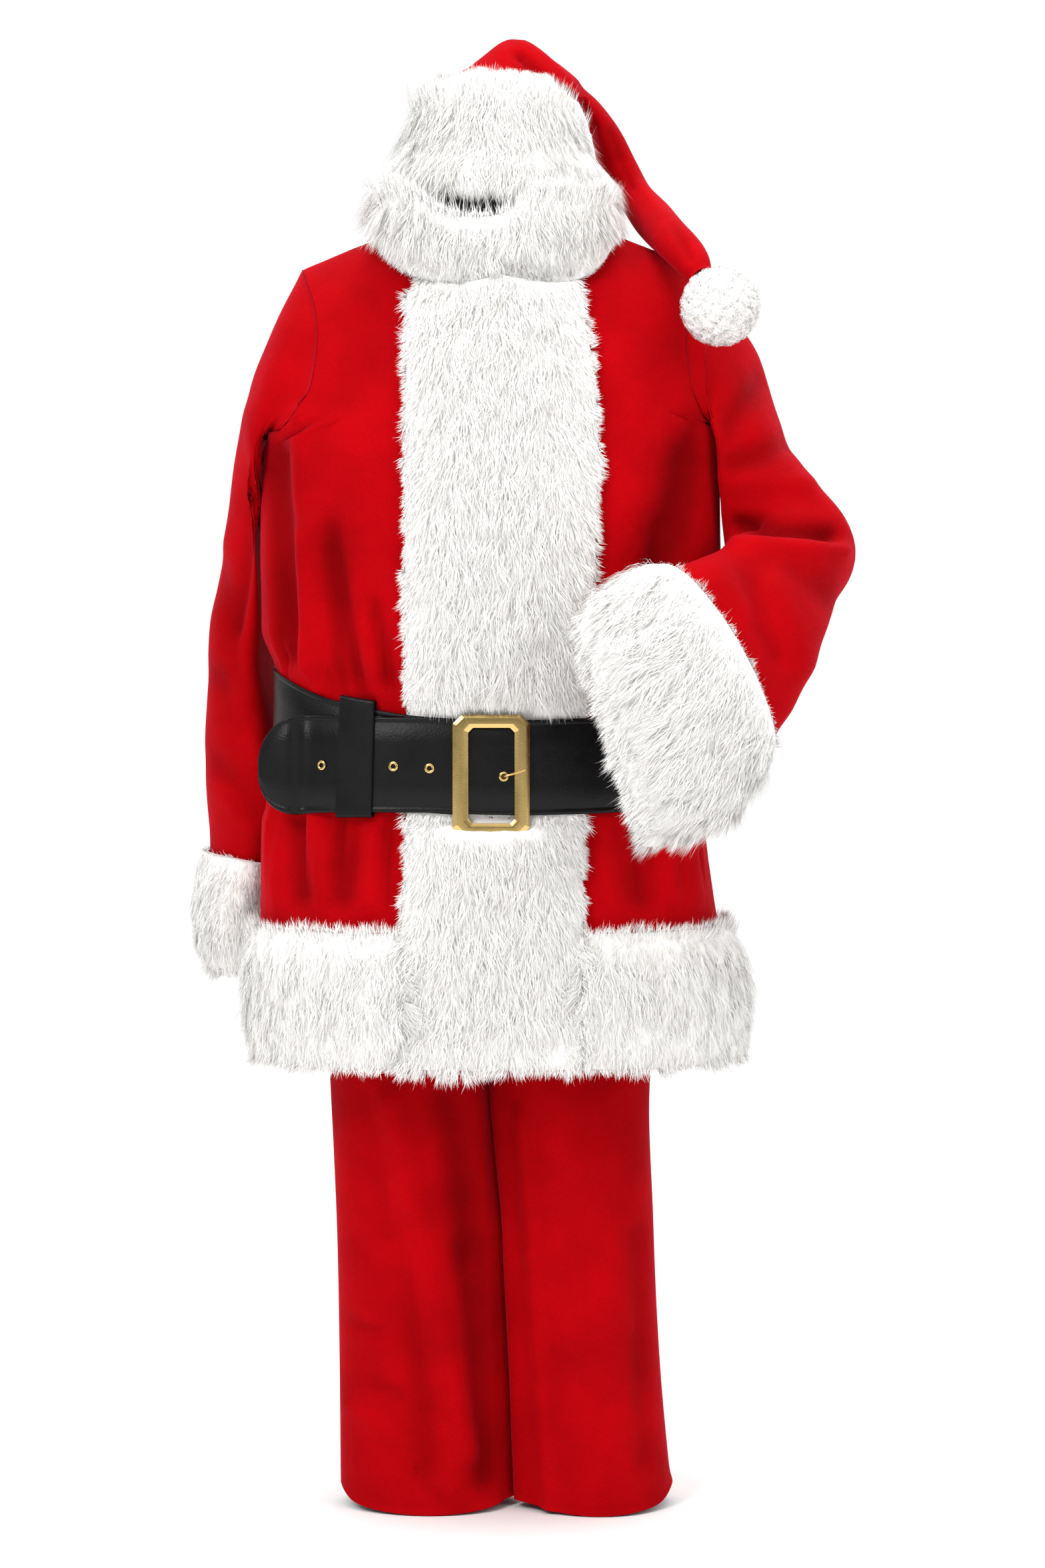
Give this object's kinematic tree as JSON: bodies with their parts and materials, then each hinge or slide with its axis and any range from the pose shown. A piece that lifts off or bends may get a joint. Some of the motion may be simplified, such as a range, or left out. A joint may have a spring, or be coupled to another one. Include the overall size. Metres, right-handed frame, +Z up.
{
  "type": "santa suit",
  "caption": "Santa suit filled out with no wearer: pointed hat with fur band and pompom on its tail, fur-trimmed jacket belted over straight trousers, one arm bent.",
  "frame": {"origin": "inside the neck opening, level with the collar's foot, where the wearer's shoulders hold the suit", "axes": "+Z up along the suit's height, the suit faces -Y, +X towards the wearer's left"},
  "size_m": [0.7688, 0.5366, 1.6901],
  "materials": {
    "red_velour": "short cut-pile velour, soft sheen at grazing angles",
    "white_fur": "long-pile white faux fur",
    "black_strap": "smooth black, embossed line near both edges",
    "polished_gold": "polished gold colour"
  },
  "bodies": {
    "root": {"jacket_front_right": "red_velour", "jacket_front_left": "red_velour", "jacket_back": "red_velour", "sleeve_right": "red_velour", "sleeve_left": "red_velour", "hat_crown": "red_velour", "trouser_front_right": "red_velour", "trouser_front_left": "red_velour", "trouser_back_right": "red_velour", "trouser_back_left": "red_velour", "trouser_waistband": "red_velour", "collar_fur": "white_fur", "front_fur": "white_fur", "hem_fur": "white_fur", "cuff_fur_right": "white_fur", "cuff_fur_left": "white_fur", "hat_fur_band": "white_fur", "hat_pompom": "white_fur", "belt_strap": "black_strap", "belt_keeper": "black_strap", "buckle_frame": "polished_gold", "buckle_prong": "polished_gold", "belt_eyelet_1": "polished_gold", "belt_eyelet_2": "polished_gold", "belt_eyelet_3": "polished_gold", "belt_eyelet_4": "polished_gold"}
  },
  "joints": []
}
